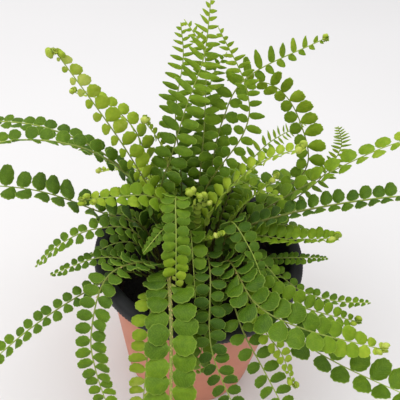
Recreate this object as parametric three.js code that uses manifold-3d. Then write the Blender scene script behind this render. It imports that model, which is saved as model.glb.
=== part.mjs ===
// A young duffii fern in its 12 cm nursery pot, in millimetres, +Z up.
// The origin is the centre of the pot's flat base, and the plant is seen in the photo from -Y.
import * as THREE from "three";
import { mergeVertices } from "three/addons/utils/BufferGeometryUtils.js";
import Module from "manifold-3d";

const wasm = await Module();
wasm.setup();

// Pot: a thin formed shell with its rim turned out and down
const POT_HEIGHT = 104;
const RIM_RADIUS = 60;
const LIP_DEPTH = 7;
const LIP_GAP = 4.2;
const SHELL = 1.6;
const FLOOR = 2.6;
const FILLET = 1.5;
const BASE_RADIUS = 44;
const FOOT_BEVEL = 2;
const RIM_BEVEL = 1;
const MOUTH_BEVEL = 2;
const POT_SIDES = 36;
const DRAIN_COUNT = 8;
const DRAIN_SIZE = 7;
const DRAIN_RING = 34;

// Soil: fills the pot to a little below the rim, with a socket for each stalk
const SOIL_TOP = 88;
const SEAT_GAP = 0.3;
const SOIL_GAP = 0.4;
const SOCKET_DEPTH = 10;
const MOUND = 1.5;
const MOUND_SHARE = 0.72;

// Ribs of the fronds: a square stalk that narrows to the tip
const STALK_WIDTH = 2.2;
const TIP_WIDTH = 1.5;
const TIP_DEPTH = 1.4;
const DEPTH_TAPER = 2.5;
const CURVE_STEPS = 16;
const BARE_STEP = 9;
const STALK_RISE = 2;
const TIP_REACH = 2.5;
const CURL_RADIUS = 2;

// Leaflets: little plates cut to the rib, in two alternating rows
const LEAF_THICKNESS = 0.8;
const SHOULDER_OUT = 0.62;
const SHOULDER_INSET = 0.13;
const SLIM_INSET = 0.2;
const SMALL_LEAF = 6.2;
const BLUNT_OUT = 0.9;
const FORWARD_LEAN = 0.14;
const FULL_LEAF = 9;
const LEAST_PITCH = 0.35;
const LEAST_PAIRS = 5;
const TIP_CROWDING = 0.32;
const TIP_MARGIN = 1;

// Lengths of the leaflets along a frond, as shares of the longest
const FIRST_SHARE = 0.74;
const RISE = 1.4;
const SHOULDER = 0.66;
const LOW_SHOULDER = 0.5;
const TIP_SHARE = 0.35;
const TAPER_POWER = 1.3;

// How a leaflet makes way for what is there before it: its sizes, its bends in degrees, and how
// near two fronds may come
const SIZES = [1, 0.85, 0.7, 0.55, 0.4];
const BENDS = [0, 22, -22, 40, -40];
const PLACES = 4;
const RIB_SAMPLE = 1.5;
const CLEAR = 2.1;
const CELL = 3;
const MERGE = 1e-4;

const COLOURS = { dark: 0x3f6b1c, mid: 0x5c8a2a, young: 0x98b43c, pot: 0xb5674f, soil: 0x2b2019 };
const PITCH = { dark: 11.3, mid: 10.5, young: 10 };
const BARE = { dark: 0.26, mid: 0.28, young: 0.34 };

// Each frond: the spot in the soil where it roots, the points that its rib passes through up to
// its tip, the length of its longest leaflets and the angle that they fold up by. One that turns
// its face from the way it leans also has the heading that its back is turned to, and twist is how
// many degrees it turns about its own rib up to the tip. rows are the lengths of the left and the
// right row as shares. shoulder is the share of the leafy part from which the leaflets shorten, and
// tip their share of the longest at its end. curled says whether the tip is still rolled up, which
// it is on young fronds otherwise.
const FRONDS = [
  { name: "front_big", age: "dark", root: [-8, -17], leaf: 11, fold: 5, shoulder: 0.75, tip: 0.5,
    way: [[-13, -26, 110], [-14, -40, 124], [-10, -66, 121], [-6, -94, 94], [-2, -112, 64]] },
  { name: "front_curled", age: "mid", root: [-6, -6], leaf: 6.5, fold: 5, shoulder: 0.8, tip: 0.75,
    way: [[-9, -8, 125], [-14, -18, 155], [-12, -35, 147], [-10, -45, 121]] },
  { name: "front_right_big", age: "mid", root: [10, -13], leaf: 9.5, fold: 12, shoulder: 0.5,
    tip: 0.4, curled: true,
    way: [[15, -25, 121], [27, -56, 129], [48, -67, 129], [86, -66, 118]] },
  { name: "left_high", age: "dark", root: [-21, 9], leaf: 7, fold: 8,
    way: [[-36, 12, 130], [-58, 17, 151], [-95, 26, 158], [-140, 38, 149]] },
  { name: "left_second", age: "dark", root: [-18, -2], leaf: 6.5, fold: 32,
    way: [[-34, -4, 143], [-54, -4, 165], [-86, -6, 171], [-128, -8, 160]] },
  { name: "left_middle", age: "dark", root: [-22, -6], leaf: 11.5, fold: 18, rows: [1, 1.1],
    shoulder: 0.85,
    way: [[-32, -6, 120], [-53, -8, 130], [-86, -12, 145], [-132, -16, 147]] },
  { name: "right_long", age: "dark", root: [8, -2], leaf: 7.4, fold: 20, shoulder: 0.85, tip: 0.6,
    way: [[15, -2, 116], [45, -4, 139], [95, -6, 159], [134, -8, 162]] },
  { name: "right_front_dark", age: "dark", root: [16, -19], leaf: 11.5, fold: 20,
    rows: [1, 0.8], shoulder: 0.9, tip: 0.7,
    way: [[30, -32, 112], [51, -54, 104], [72, -65, 100], [109, -82, 102]] },
  { name: "upright_tall", age: "dark", root: [-18, 3], leaf: 10, fold: 10, facing: 90, twist: -30,
    shoulder: 0.8, tip: 0.3,
    way: [[-24, 3, 136], [-19, 6, 162], [-13, 8, 190], [-7, 8, 214], [-6, 6, 239]] },
  { name: "upright_right", age: "dark", root: [-3, 4], leaf: 6.8, fold: 10, facing: 90, twist: -30,
    rows: [0.8, 1], shoulder: 0.85, tip: 0.45,
    way: [[-1, 6, 138], [15, 4, 180], [13, 2, 204], [-2, -2, 231]] },
  { name: "right_curving", age: "mid", root: [15, 13], leaf: 10, fold: 10, facing: 68,
    rows: [0.66, 1], shoulder: 0.75, tip: 0.5,
    way: [[36, 20, 124], [55, 27, 146], [47, 30, 172], [30, 28, 193], [4, 20, 200]] },
  { name: "upright_bent", age: "mid", root: [3, 9], leaf: 9.5, fold: 10, facing: 90,
    rows: [1, 0.7], shoulder: 0.65, tip: 0.35, curled: true,
    way: [[2, 10, 152], [5, 13, 182], [14, 16, 203], [46, 22, 222]] },
  { name: "upright_left", age: "dark", root: [-11, 13], leaf: 9, fold: 10, facing: 90,
    shoulder: 0.68, tip: 0.32,
    way: [[-14, 13, 142], [-19, 18, 178], [-17, 23, 205], [-19, 24, 222]] },
  { name: "upright_middle", age: "dark", root: [-4, 13], leaf: 9, fold: 10, facing: 90,
    shoulder: 0.65, tip: 0.3,
    way: [[-3, 14, 138], [0, 20, 168], [-3, 22, 195], [3, 20, 212]] },
  { name: "upright_behind", age: "dark", root: [-4, 8.5], leaf: 7.5, fold: 10, facing: 90,
    shoulder: 0.7, tip: 0.35,
    way: [[-4, 9, 140], [-4, 10, 176], [-6, 14, 208], [-10, 15, 218], [-17, 17, 226]] },
  { name: "left_front_long", age: "dark", root: [-15, -20], leaf: 7, fold: 8, twist: -42,
    shoulder: 0.7, tip: 0.55,
    way: [[-23, -34, 124], [-39, -56, 139], [-44, -73, 121], [-41, -82, 101], [-33, -90, 72]] },
  { name: "left_front_low", age: "mid", root: [-23, -22], leaf: 5.8, fold: 10, shoulder: 0.85,
    tip: 0.6,
    way: [[-35, -31, 112], [-54, -45, 111], [-78, -64, 102], [-104, -86, 84]] },
  { name: "left_young_tall", age: "young", root: [-12, -3], leaf: 7.8, fold: 10, twist: -80,
    rows: [0.55, 1], shoulder: 0.6, tip: 0.45,
    way: [[-23, -4, 132], [-41, -6, 173], [-67, -8, 218]] },
  { name: "left_young_back", age: "young", root: [-17, 14], leaf: 7.5, fold: 30, rows: [0.65, 1],
    tip: 0.3,
    way: [[-28, 14, 128], [-38, 16, 165], [-55, 20, 180], [-72, 25, 181]] },
  { name: "left_young_short", age: "young", root: [-9, 8], leaf: 5.5, fold: 40,
    way: [[-17, 10, 128], [-24, 12, 160], [-34, 8, 180]] },
  { name: "left_young_near", age: "young", root: [-11, -9], leaf: 7.5, fold: 12, twist: -45,
    shoulder: 0.4,
    way: [[-15, -10, 134], [-26, -13, 149], [-43, -19, 152], [-58, -25, 153]] },
  { name: "left_low", age: "mid", root: [-21, -14], leaf: 5.8, fold: 10,
    way: [[-34, -20, 130], [-52, -26, 136], [-68, -31, 129], [-82, -36, 115]] },
  { name: "left_low_short", age: "mid", root: [-20, -19], leaf: 5.2, fold: 10,
    way: [[-34, -28, 116], [-50, -34, 124], [-72, -42, 117]] },
  { name: "front_left_light", age: "young", root: [-14, -25], leaf: 8, fold: 5, shoulder: 0.85,
    tip: 0.6,
    way: [[-20, -46, 118], [-20, -64, 116], [-20, -72, 98], [-21, -82, 68]] },
  { name: "front_left_tip", age: "mid", root: [-14, -13], leaf: 4.8, fold: 5,
    way: [[-15, -18, 128], [-18, -28, 143], [-27, -38, 135]] },
  { name: "crozier_front", age: "young", root: [3, -6], leaf: 4, fold: 45,
    way: [[3, -10, 121], [2, -19, 128], [9, -29, 143]] },
  { name: "crozier_left", age: "young", root: [-2, -5], leaf: 4, fold: 45,
    way: [[-4, -7, 128], [-4, -9, 146], [-6, -12, 152]] },
  { name: "front_centre", age: "mid", root: [0, -10], leaf: 7.2, fold: 5, shoulder: 0.8, tip: 0.6,
    way: [[3, -18, 118], [6, -40, 125], [8, -62, 110], [14, -73, 97], [29, -86, 72]] },
  { name: "front_inner", age: "dark", root: [-4, -12], leaf: 7, fold: 5,
    way: [[-6, -14, 128], [-4, -30, 132], [0, -46, 114]] },
  { name: "front_right", age: "dark", root: [7, -19], leaf: 7.6, fold: 5, shoulder: 0.8, tip: 0.6,
    way: [[14, -36, 116], [24, -59, 110], [35, -71, 99], [54, -84, 71]] },
  { name: "front_right_young", age: "young", root: [16, -13], leaf: 7.5, fold: 15,
    way: [[26, -29, 114], [42, -42, 116], [62, -44, 111], [83, -42, 104]] },
  { name: "front_right_yellow", age: "young", root: [12, -23], leaf: 5.5, fold: 5,
    way: [[24, -40, 115], [33, -58, 113], [43, -65, 104], [50, -73, 92]] },
  { name: "right_small_dark", age: "dark", root: [21, -9], leaf: 5, fold: 10,
    way: [[38, -19, 110], [56, -28, 106], [72, -36, 111], [85, -42, 120]] },
  { name: "right_low", age: "dark", root: [22, -4], leaf: 4.2, fold: 0,
    way: [[32, -9, 106], [49, -13, 115], [67, -17, 122]] },
  { name: "right_curled", age: "young", root: [17, -4], leaf: 7.5, fold: 35, tip: 0.7,
    way: [[25, -7, 121], [46, -12, 128], [69, -15, 135]] },
  { name: "right_young", age: "young", root: [14, 4], leaf: 7.4, fold: 16, rows: [1, 0.75],
    shoulder: 0.85, tip: 0.6, curled: false,
    way: [[25, 6, 120], [51, 9, 147], [81, 13, 170], [104, 16, 182]] },
  { name: "right_light", age: "young", root: [0, -2], leaf: 7.2, fold: 26, tip: 0.55,
    way: [[2, -2, 125], [12, -2, 151], [28, -1, 170], [44, -1, 178]] },
  { name: "right_thin", age: "young", root: [10, 2], leaf: 4.5, fold: 30,
    way: [[18, 1, 131], [27, -4, 152], [34, -5, 163]] },
  { name: "right_inner", age: "mid", root: [6, 5], leaf: 6, fold: 20,
    way: [[9, 8, 128], [14, 8, 147], [25, 5, 147], [41, 0, 145]] },
  { name: "centre_right", age: "mid", root: [12, -8], leaf: 7.5, fold: 5,
    way: [[13, -9, 124], [15, -15, 139], [25, -27, 132], [32, -36, 122]] },
  { name: "right_behind", age: "mid", root: [19, 9], leaf: 7, fold: 10, facing: 90, shoulder: 0.6,
    tip: 0.45,
    way: [[36, 14, 116], [63, 27, 137], [72, 32, 158], [66, 29, 174]] },
  { name: "right_back_small", age: "mid", root: [8, 12], leaf: 7, fold: 10, facing: 80,
    way: [[14, 14, 135], [29, 24, 160], [52, 43, 166]] },
  { name: "left_inner", age: "mid", root: [-26, 2], leaf: 7, fold: 5,
    way: [[-34, 4, 112], [-48, 6, 117], [-64, 8, 108]] },
  { name: "left_inner_back", age: "dark", root: [-24, 15], leaf: 7, fold: 5,
    way: [[-32, 20, 112], [-46, 28, 116], [-60, 36, 107]] },
  { name: "left_inner_near", age: "dark", root: [-26, -11], leaf: 7, fold: 5,
    way: [[-33, -11, 110], [-44, -13, 114], [-60, -17, 106]] },
  { name: "right_inner_low", age: "dark", root: [21, 3], leaf: 7.5, fold: 5,
    way: [[30, 5, 112], [44, 8, 119], [64, 11, 113]] },
  { name: "right_inner_back", age: "mid", root: [20, 15], leaf: 7.5, fold: 5,
    way: [[28, 21, 110], [43, 30, 114], [62, 40, 106]] },
  { name: "centre_low", age: "mid", root: [16, -8], leaf: 7, fold: 5,
    way: [[22, -13, 112], [32, -20, 118], [45, -28, 110]] },
  { name: "front_lower", age: "dark", root: [2, -22], leaf: 7.2, fold: 5,
    way: [[5, -33, 109], [8, -50, 110], [5, -64, 101], [6, -68, 84]] },
  { name: "back_right", age: "dark", root: [14, 8], leaf: 9, fold: 8,
    way: [[27, 21, 126], [46, 34, 132], [70, 52, 125]] },
  { name: "back_far_right", age: "dark", root: [9, 17], leaf: 9, fold: 5,
    way: [[16, 34, 120], [24, 58, 116], [30, 78, 98], [32, 88, 74]] },
  { name: "back_middle", age: "dark", root: [2, 18], leaf: 9, fold: 5,
    way: [[4, 36, 118], [6, 60, 112], [7, 78, 92], [6, 86, 66]] },
  { name: "back_left", age: "dark", root: [-9, 19], leaf: 9, fold: 5,
    way: [[-20, 36, 120], [-32, 56, 116], [-42, 74, 98], [-46, 83, 76]] },
  { name: "back_far_left", age: "young", root: [-17, 19], leaf: 5.5, fold: 10,
    way: [[-30, 30, 118], [-48, 43, 122], [-70, 54, 108]] },
];

// A solid from a closed three.js geometry, its doubled corners merged and empty triangles dropped
function solidOf(geometry) {
  const bare = geometry.clone();
  bare.deleteAttribute("normal");
  bare.deleteAttribute("uv");
  const merged = mergeVertices(bare, MERGE);
  const corners = Array.from(merged.index.array);
  const kept = corners.filter((corner, index) => {
    const [a, b, c] = corners.slice(index - (index % 3), index - (index % 3) + 3);
    return a !== b && b !== c && c !== a;
  });
  return new wasm.Manifold(new wasm.Mesh({
    numProp: 3,
    vertProperties: merged.attributes.position.array,
    triVerts: Uint32Array.from(kept),
  }));
}

function geometryOf(solid) {
  const mesh = solid.getMesh();
  const geometry = new THREE.BufferGeometry();
  geometry.setAttribute("position", new THREE.BufferAttribute(mesh.vertProperties, 3));
  geometry.setIndex(new THREE.BufferAttribute(mesh.triVerts, 1));
  geometry.computeVertexNormals();
  return geometry;
}

// A profile of [radius, height] pairs from the axis to the axis, turned about Z
function turned(profile, sides) {
  const points = profile.map(([radius, height]) => new THREE.Vector2(radius, height));
  return solidOf(new THREE.LatheGeometry(points, sides).rotateX(Math.PI / 2));
}

function potSolid() {
  const wallTop = RIM_RADIUS - LIP_GAP - SHELL;
  const lipInner = RIM_RADIUS - SHELL;
  const underside = POT_HEIGHT - SHELL;
  let pot = turned([
    [0, 0], [BASE_RADIUS - FOOT_BEVEL, 0], [BASE_RADIUS, FOOT_BEVEL],
    [wallTop, underside], [lipInner, underside],
    [lipInner, POT_HEIGHT - LIP_DEPTH], [RIM_RADIUS, POT_HEIGHT - LIP_DEPTH],
    [RIM_RADIUS, POT_HEIGHT - RIM_BEVEL], [RIM_RADIUS - RIM_BEVEL, POT_HEIGHT],
    [wallTop, POT_HEIGHT], [wallTop - SHELL, POT_HEIGHT - MOUTH_BEVEL],
    [BASE_RADIUS - SHELL, FLOOR + FILLET], [BASE_RADIUS - SHELL - FILLET, FLOOR], [0, FLOOR],
  ], POT_SIDES);
  for (let hole = 0; hole < DRAIN_COUNT; hole += 1) {
    const cutter = new THREE.BoxGeometry(DRAIN_SIZE, DRAIN_SIZE, 4 * FLOOR);
    cutter.translate(DRAIN_RING, 0, 0);
    cutter.rotateZ(((hole + 0.5) * 2 * Math.PI) / DRAIN_COUNT);
    pot = pot.subtract(solidOf(cutter));
  }
  return pot;
}

// Radius of the pot's inner wall at a height
function insideAt(height) {
  const wallTop = RIM_RADIUS - LIP_GAP - SHELL;
  const share = (height - FLOOR) / (POT_HEIGHT - MOUTH_BEVEL - FLOOR);
  return BASE_RADIUS - SHELL + (wallTop - BASE_RADIUS) * share;
}

function soilSolid() {
  const bottom = FLOOR + SEAT_GAP;
  const edge = SOIL_TOP - MOUND;
  let soil = turned([
    [0, bottom], [insideAt(bottom) - SEAT_GAP - FILLET, bottom],
    [insideAt(bottom + FILLET) - SOIL_GAP, bottom + FILLET], [insideAt(edge) - SOIL_GAP, edge],
    [RIM_RADIUS * MOUND_SHARE, SOIL_TOP], [0, SOIL_TOP],
  ], POT_SIDES);
  const width = STALK_WIDTH + 2 * SEAT_GAP;
  const depth = SOCKET_DEPTH + SEAT_GAP;
  for (const frond of FRONDS) {
    const cutter = new THREE.BoxGeometry(width, width, 2 * depth);
    cutter.rotateZ(headingOf(frond));
    cutter.translate(...frond.root, SOIL_TOP);
    soil = soil.subtract(solidOf(cutter));
  }
  return soil;
}

// The heading of a frond: the way it leans unless the list turns it
function headingOf(frond) {
  if (frond.facing !== undefined) return THREE.MathUtils.degToRad(frond.facing);
  const tip = frond.way.at(-1);
  return Math.atan2(tip[1] - frond.root[1], tip[0] - frond.root[0]);
}

// A smooth curve through the frond's points that leaves the soil straight up
function ribCurve(frond) {
  const foot = [...frond.root, SOIL_TOP + STALK_RISE];
  const [first] = frond.way;
  const [beforeLast, last] = frond.way.slice(-2);
  const before = [first[0], first[1], 2 * foot[2] - first[2]];
  const beyond = last.map((value, axis) => 2 * value - beforeLast[axis]);
  const knots = [before, foot, ...frond.way, beyond];
  const points = [];
  for (let span = 1; span < knots.length - 2; span += 1) {
    for (let step = 0; step < CURVE_STEPS; step += 1) {
      points.push(splinePoint(knots.slice(span - 1, span + 3), step / CURVE_STEPS));
    }
  }
  points.push(new THREE.Vector3(...last));
  return points;
}

function splinePoint([a, b, c, d], t) {
  const along = (axis) => 0.5 * (2 * b[axis] + (c[axis] - a[axis]) * t
    + (2 * a[axis] - 5 * b[axis] + 4 * c[axis] - d[axis]) * t * t
    + (3 * b[axis] - a[axis] - 3 * c[axis] + d[axis]) * t * t * t);
  return new THREE.Vector3(along(0), along(1), along(2));
}

// Frames along the rib: a place, the way ahead, the side and the upper face, by distance
function ribFrames(frond) {
  const points = ribCurve(frond);
  const turn = headingOf(frond);
  const twist = THREE.MathUtils.degToRad(frond.twist ?? 0);
  let level = new THREE.Vector3(Math.sin(turn), -Math.cos(turn), 0);
  let distance = 0;
  const frames = points.map((point, index) => {
    const before = points[Math.max(index - 1, 0)];
    const after = points[Math.min(index + 1, points.length - 1)];
    const ahead = index === 0 ? new THREE.Vector3(0, 0, 1) : after.clone().sub(before).normalize();
    level = level.clone().addScaledVector(ahead, -level.dot(ahead)).normalize();
    const side = level.clone().applyAxisAngle(ahead, (twist * index) / (points.length - 1));
    distance += point.distanceTo(before);
    return { point, ahead, side, face: side.clone().cross(ahead), distance };
  });
  const slim = frond.facing !== undefined;
  return { frames, length: distance, slim, tapering: slim || frond.age === "young" };
}

function frameAt(rib, distance) {
  const { frames } = rib;
  let index = 1;
  while (index < frames.length - 1 && frames[index].distance < distance) index += 1;
  const low = frames[index - 1];
  const high = frames[index];
  const share = (distance - low.distance) / (high.distance - low.distance);
  const blend = (key) => low[key].clone().lerp(high[key], share);
  return {
    point: blend("point"),
    ahead: blend("ahead").normalize(),
    side: blend("side").normalize(),
    face: blend("face").normalize(),
  };
}

// A grid of places already taken, each with the frond that holds it
class Taken {
  constructor() {
    this.cells = new Map();
  }

  key(point, dx, dy, dz) {
    return [point.x / CELL + dx, point.y / CELL + dy, point.z / CELL + dz].map(Math.floor).join();
  }

  add(point, owner) {
    const key = this.key(point, 0, 0, 0);
    if (!this.cells.has(key)) this.cells.set(key, []);
    this.cells.get(key).push({ point, owner });
  }

  isFree(point, owner) {
    for (let dx = -1; dx <= 1; dx += 1) {
      for (let dy = -1; dy <= 1; dy += 1) {
        for (let dz = -1; dz <= 1; dz += 1) {
          for (const other of this.cells.get(this.key(point, dx, dy, dz)) ?? []) {
            if (other.owner !== owner && other.point.distanceTo(point) < CLEAR) return false;
          }
        }
      }
    }
    return true;
  }
}

// How long the leaflets are along the leafy part, as a share of the longest: an upright or young
// frond narrows from lower down than one that arches over
function leafProfile(frond, rib, share) {
  const shoulder = frond.shoulder ?? (rib.tapering ? LOW_SHOULDER : SHOULDER);
  const past = Math.max(0, share - shoulder) / (1 - shoulder);
  const rise = Math.min(1, FIRST_SHARE + share * RISE);
  return rise * (1 - (1 - (frond.tip ?? TIP_SHARE)) * past ** TAPER_POWER);
}

// The outer corners of a leaflet, three or on small leaflets two, between two places on the rib
function leafletCorners(rib, from, to, hand, length, fold) {
  const pitch = to - from;
  const usual = rib.slim ? SLIM_INSET : SHOULDER_INSET;
  const lift = THREE.MathUtils.degToRad(fold);
  const corner = (place, out) => {
    const frame = frameAt(rib, place);
    const outward = frame.side.clone().multiplyScalar(hand * Math.cos(lift))
      .addScaledVector(frame.face, Math.sin(lift));
    const point = frame.point.clone().addScaledVector(outward, out)
      .addScaledVector(frame.ahead, FORWARD_LEAN * out);
    const across = frame.face.clone().multiplyScalar(Math.cos(lift))
      .addScaledVector(frame.side, -hand * Math.sin(lift));
    return { point, across: across.multiplyScalar(LEAF_THICKNESS / 2) };
  };
  const outs = length < SMALL_LEAF ? [BLUNT_OUT, BLUNT_OUT] : [SHOULDER_OUT, 1, SHOULDER_OUT];
  const inset = length < SMALL_LEAF ? Math.max(usual, 2 * SHOULDER_INSET) : usual;
  return outs.map((out, index) => {
    const share = inset + ((1 - 2 * inset) * index) / (outs.length - 1);
    return corner(from + pitch * share, length * out);
  });
}

// Places spread over a leaflet, close enough to find what would cross it
function leafletPlaces(rib, from, to, corners) {
  const start = frameAt(rib, from).point;
  const end = frameAt(rib, to).point;
  const spans = corners.length - 1;
  const places = [];
  for (let across = 0; across <= PLACES; across += 1) {
    const along = (across * spans) / PLACES;
    const span = Math.min(Math.floor(along), spans - 1);
    const base = start.clone().lerp(end, across / PLACES);
    const edge = corners[span].point.clone().lerp(corners[span + 1].point, along - span);
    for (let out = 1; out <= PLACES; out += 1) places.push(base.clone().lerp(edge, out / PLACES));
  }
  return places;
}

// A leaflet keeps its size where it can, else bends up or down, else is smaller, else is left off
function freeLeaflet(rib, from, to, hand, length, fold, owner, taken) {
  for (const size of SIZES) {
    for (const bend of BENDS) {
      const corners = leafletCorners(rib, from, to, hand, length * size, fold + bend);
      const places = leafletPlaces(rib, from, to, corners);
      if (places.every((place) => taken.isFree(place, owner))) {
        places.forEach((place) => taken.add(place, owner));
        return corners;
      }
    }
  }
  return [];
}

// Where the leaflets meet the rib: the pitch is wide at the foot and close at the tip
function leafStations(frond, length) {
  const start = length * BARE[frond.age];
  const end = length - TIP_MARGIN;
  const reach = LEAST_PITCH + (1 - LEAST_PITCH) * Math.min(1, frond.leaf / FULL_LEAF);
  const count = Math.max(LEAST_PAIRS, Math.round((end - start) / (PITCH[frond.age] * reach)));
  const stations = [];
  for (let index = 0; index <= count; index += 1) {
    const share = index / count;
    const crowded = share + TIP_CROWDING * share * (1 - share);
    stations.push(start + (end - start) * crowded);
  }
  return stations;
}

function ribSize(share) {
  return {
    width: STALK_WIDTH + (TIP_WIDTH - STALK_WIDTH) * share,
    depth: STALK_WIDTH + (TIP_DEPTH - STALK_WIDTH) * Math.min(1, share * DEPTH_TAPER),
  };
}

// A plate whose upper and lower faces are split into triangles alike
class Plate {
  constructor() {
    this.points = [];
    this.faces = [];
  }

  add(point, across) {
    this.points.push([point.clone().add(across), point.clone().sub(across)]);
    return this.points.length - 1;
  }

  solid() {
    const points = this.points.flat().map((point) => point.toArray());
    const faces = [];
    const edges = new Set(this.faces.flatMap(([a, b, c]) => [`${a},${b}`, `${b},${c}`, `${c},${a}`]));
    for (const [a, b, c] of this.faces) {
      faces.push([2 * a, 2 * b, 2 * c], [2 * c + 1, 2 * b + 1, 2 * a + 1]);
      for (const [from, to] of [[a, b], [b, c], [c, a]]) {
        if (edges.has(`${to},${from}`)) continue;
        faces.push([2 * from, 2 * from + 1, 2 * to + 1], [2 * from, 2 * to + 1, 2 * to]);
      }
    }
    const geometry = new THREE.BufferGeometry();
    geometry.setAttribute("position", new THREE.Float32BufferAttribute(points.flat(), 3));
    geometry.setIndex(faces.flat());
    return solidOf(geometry);
  }
}

function frondSolid(frond, rib, taken) {
  const plate = new Plate();
  const { length } = rib;
  const stations = leafStations(frond, length);
  const edgeAt = (distance, hand) => {
    const frame = frameAt(rib, distance);
    const size = ribSize(distance / length);
    const point = frame.point.clone().addScaledVector(frame.side, (hand * size.width) / 2);
    return plate.add(point, frame.face.clone().multiplyScalar(size.depth / 2));
  };
  // The stalk in its socket, then the bare part of the rib
  const start = rib.frames[0];
  const buried = start.point.clone().setZ(SOIL_TOP - SOCKET_DEPTH);
  const flat = start.face.clone().multiplyScalar(STALK_WIDTH / 2);
  let pair = [-1, 1].map((hand) => plate.add(
    buried.clone().addScaledVector(start.side, (hand * STALK_WIDTH) / 2),
    flat,
  ));
  const bareCount = Math.max(2, Math.round(stations[0] / BARE_STEP));
  for (let index = 0; index < bareCount; index += 1) {
    const next = [-1, 1].map((hand) => edgeAt((stations[0] * index) / bareCount, hand));
    plate.faces.push([pair[0], pair[1], next[1]], [pair[0], next[1], next[0]]);
    pair = next;
  }
  // The leafy part: the right row stands half a pitch ahead of the left one
  const rows = [-1, 1].map((hand) => stations.map((station, index) => {
    const next = stations[index + 1] ?? station;
    return hand < 0 ? station : (station + next) / 2;
  }));
  const valleys = rows.map((row, side) => row.map((place) => edgeAt(place, side * 2 - 1)));
  plate.faces.push([pair[0], pair[1], valleys[0][0]], [pair[1], valleys[1][0], valleys[0][0]]);
  for (let index = 0; index < stations.length - 1; index += 1) {
    const [leftHere, leftNext] = [valleys[0][index], valleys[0][index + 1]];
    const [rightHere, rightNext] = [valleys[1][index], valleys[1][index + 1]];
    plate.faces.push([leftHere, rightHere, leftNext]);
    if (rightNext !== undefined) plate.faces.push([rightHere, rightNext, leftNext]);
    for (const hand of [-1, 1]) {
      const row = rows[(hand + 1) / 2];
      const ends = hand < 0 ? [leftHere, leftNext] : [rightHere, rightNext];
      const share = (row[index] - stations[0]) / (length - stations[0]);
      const rowShare = frond.rows?.[(hand + 1) / 2] ?? 1;
      const size = frond.leaf * leafProfile(frond, rib, share) * rowShare;
      const corners = freeLeaflet(rib, row[index], row[index + 1], hand, size, frond.fold,
        frond.name, taken).map((corner) => plate.add(corner.point, corner.across));
      const fan = hand > 0 ? [...corners, ends[1]] : [ends[1], ...corners.reverse()];
      for (let corner = 0; corner < fan.length - 1; corner += 1) {
        plate.faces.push([ends[0], fan[corner], fan[corner + 1]]);
      }
    }
  }
  // The last small leaflet closes the tip
  const end = frameAt(rib, length);
  const tip = end.point.clone().addScaledVector(end.ahead, TIP_REACH);
  const tipPoint = plate.add(tip, end.face.clone().multiplyScalar(LEAF_THICKNESS / 2));
  plate.faces.push([valleys[0].at(-1), valleys[1].at(-1), tipPoint]);
  if (!(frond.curled ?? frond.age === "young")) return plate.solid();
  const curl = new THREE.IcosahedronGeometry(CURL_RADIUS, 0).translate(...end.point.toArray());
  return plate.solid().add(solidOf(curl));
}

function material(name, roughness) {
  return new THREE.MeshStandardMaterial({ name, color: COLOURS[name], roughness, metalness: 0 });
}

// A named mesh that stands at a place of its own
function named(name, solid, surface, place) {
  const mesh = new THREE.Mesh(geometryOf(solid).translate(-place[0], -place[1], -place[2]), surface);
  mesh.name = name;
  mesh.position.set(...place);
  return mesh;
}

const part = new THREE.Group();
part.name = "potted_fern";
part.add(named("pot", potSolid(), material("pot", 0.55), [0, 0, 0]));
part.add(named("soil", soilSolid(), material("soil", 0.95), [0, 0, FLOOR]));

const leaves = { dark: material("dark", 0.5), mid: material("mid", 0.5), young: material("young", 0.5) };
const ribs = FRONDS.map((frond) => ribFrames(frond));
const taken = new Taken();
FRONDS.forEach((frond, index) => {
  for (let place = 0; place < ribs[index].length + TIP_REACH; place += RIB_SAMPLE) {
    taken.add(frameAt(ribs[index], place).point, frond.name);
  }
});
FRONDS.forEach((frond, index) => {
  const solid = frondSolid(frond, ribs[index], taken);
  part.add(named(`frond_${frond.name}`, solid, leaves[frond.age], [...frond.root, SOIL_TOP]));
});

export default part;
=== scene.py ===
import math
import random
from bisect import bisect_left

import bmesh
import bpy
from mathutils import Matrix, Vector, noise


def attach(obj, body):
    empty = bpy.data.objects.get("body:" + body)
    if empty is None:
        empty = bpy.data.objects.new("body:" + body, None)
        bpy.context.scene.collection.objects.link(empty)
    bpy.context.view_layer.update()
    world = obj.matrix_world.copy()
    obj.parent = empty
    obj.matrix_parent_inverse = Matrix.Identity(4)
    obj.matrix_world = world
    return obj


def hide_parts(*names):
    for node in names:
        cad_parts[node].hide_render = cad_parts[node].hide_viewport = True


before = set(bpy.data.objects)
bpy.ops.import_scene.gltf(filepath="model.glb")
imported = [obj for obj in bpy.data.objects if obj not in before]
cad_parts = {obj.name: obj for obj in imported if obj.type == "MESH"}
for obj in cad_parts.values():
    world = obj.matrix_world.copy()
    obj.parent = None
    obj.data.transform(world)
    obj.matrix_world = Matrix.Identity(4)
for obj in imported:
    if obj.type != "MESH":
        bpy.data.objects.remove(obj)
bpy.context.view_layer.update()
print("frame:", len(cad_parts), "nodes")

# The dressed duffii fern: fine fronds, crumbly soil and a pot of two-colour sheet.
# Lengths in the settings are millimetres, and makeObject brings each mesh to metres.
mm = 0.001
soilTop = 88


def linear(hexColour):
    channels = [int(hexColour[place:place + 2], 16) / 255 for place in (1, 3, 5)]
    return (*[c / 12.92 if c <= 0.04045 else ((c + 0.055) / 1.055) ** 2.4 for c in channels], 1)


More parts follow.
